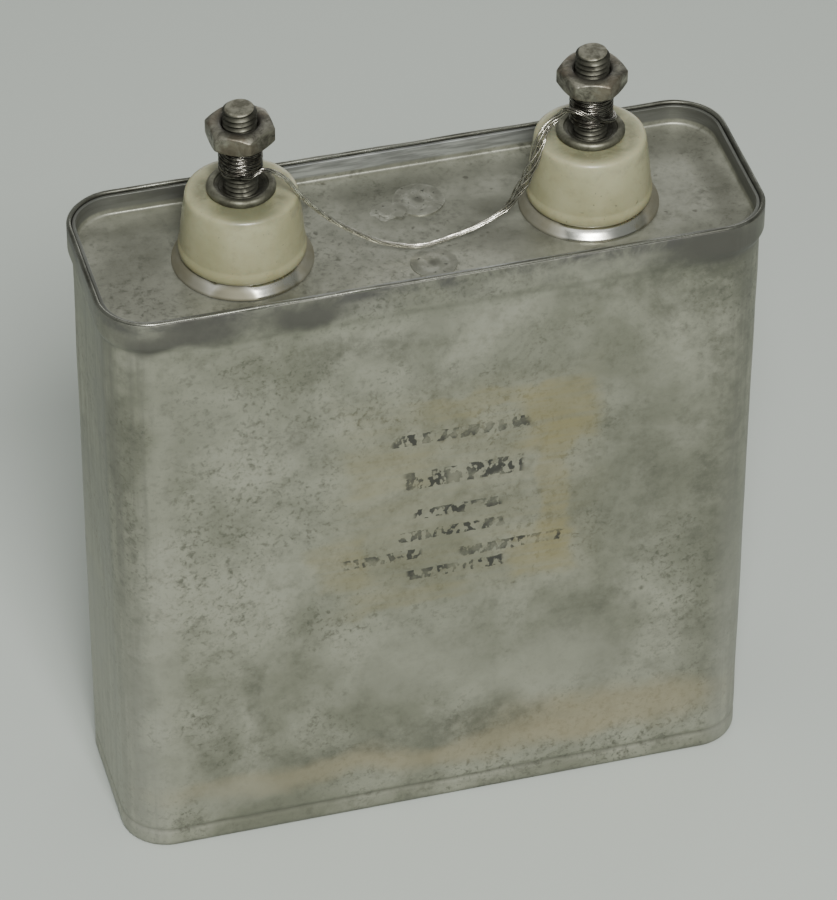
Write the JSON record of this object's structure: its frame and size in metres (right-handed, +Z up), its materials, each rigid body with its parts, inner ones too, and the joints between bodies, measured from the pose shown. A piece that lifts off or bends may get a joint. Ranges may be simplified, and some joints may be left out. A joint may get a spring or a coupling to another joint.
{
  "type": "oil-filled capacitor",
  "caption": "Sealed oil-filled paper capacitor: a flat rectangular tinplate can with sunken lid, ceramic stud terminals with hexagon nuts, and a bare shorting wire between them.",
  "frame": {"origin": "middle of the can's foot, on the surface it stands on", "axes": "+X across the can's width from the left terminal to the right one, +Y through its depth from the broad front face to the back, +Z up along the terminal studs"},
  "size_m": [0.0966, 0.0318, 0.1214],
  "materials": {
    "tinplate": "satin",
    "solder": "satin",
    "bright_tin": "gloss",
    "dark_steel": "satin",
    "ceramic": "satin",
    "tinned_wire": "gloss",
    "pressboard": "matte",
    "kraft_paper": "matte",
    "copper_strap": "satin"
  },
  "bodies": {
    "capacitor": {"can_body": "tinplate", "bottom_cover": "tinplate", "lid": "tinplate", "fill_seal_rear": "solder", "fill_seal_front": "solder", "bushing_collar_left": "bright_tin", "bushing_collar_right": "bright_tin", "bushing_left": "ceramic", "bushing_right": "ceramic", "terminal_washer_left": "dark_steel", "terminal_washer_right": "dark_steel", "terminal_stud_left": "dark_steel", "terminal_stud_right": "dark_steel", "wire_wrap_left": "tinned_wire", "wire_wrap_right": "tinned_wire", "shorting_wire": "tinned_wire", "inner_bushing_left": "ceramic", "inner_bushing_right": "ceramic", "inner_washer_left": "dark_steel", "inner_washer_right": "dark_steel", "inner_nut_left": "dark_steel", "inner_nut_right": "dark_steel", "solder_lug_left": "copper_strap", "solder_lug_right": "copper_strap", "lead_left": "copper_strap", "lead_right": "copper_strap", "link_front": "copper_strap", "link_rear": "copper_strap", "winding_front": "kraft_paper", "winding_middle": "kraft_paper", "winding_rear": "kraft_paper", "liner": "pressboard", "top_board": "pressboard", "bottom_board": "pressboard"},
    "left_nut": {"terminal_nut_left": "dark_steel"},
    "right_nut": {"terminal_nut_right": "dark_steel"}
  },
  "joints": [
    {"name": "left_nut_turn", "type": "hinge", "parent": "capacitor", "child": "left_nut", "pos_m": [-0.0252, 0, 0.11755], "axis": [0, 0, 1], "range_deg": [0, 2400]},
    {"name": "right_nut_turn", "type": "hinge", "parent": "capacitor", "child": "right_nut", "pos_m": [0.0252, 0, 0.11715], "axis": [0, 0, 1], "range_deg": [0, 2580]}
  ]
}
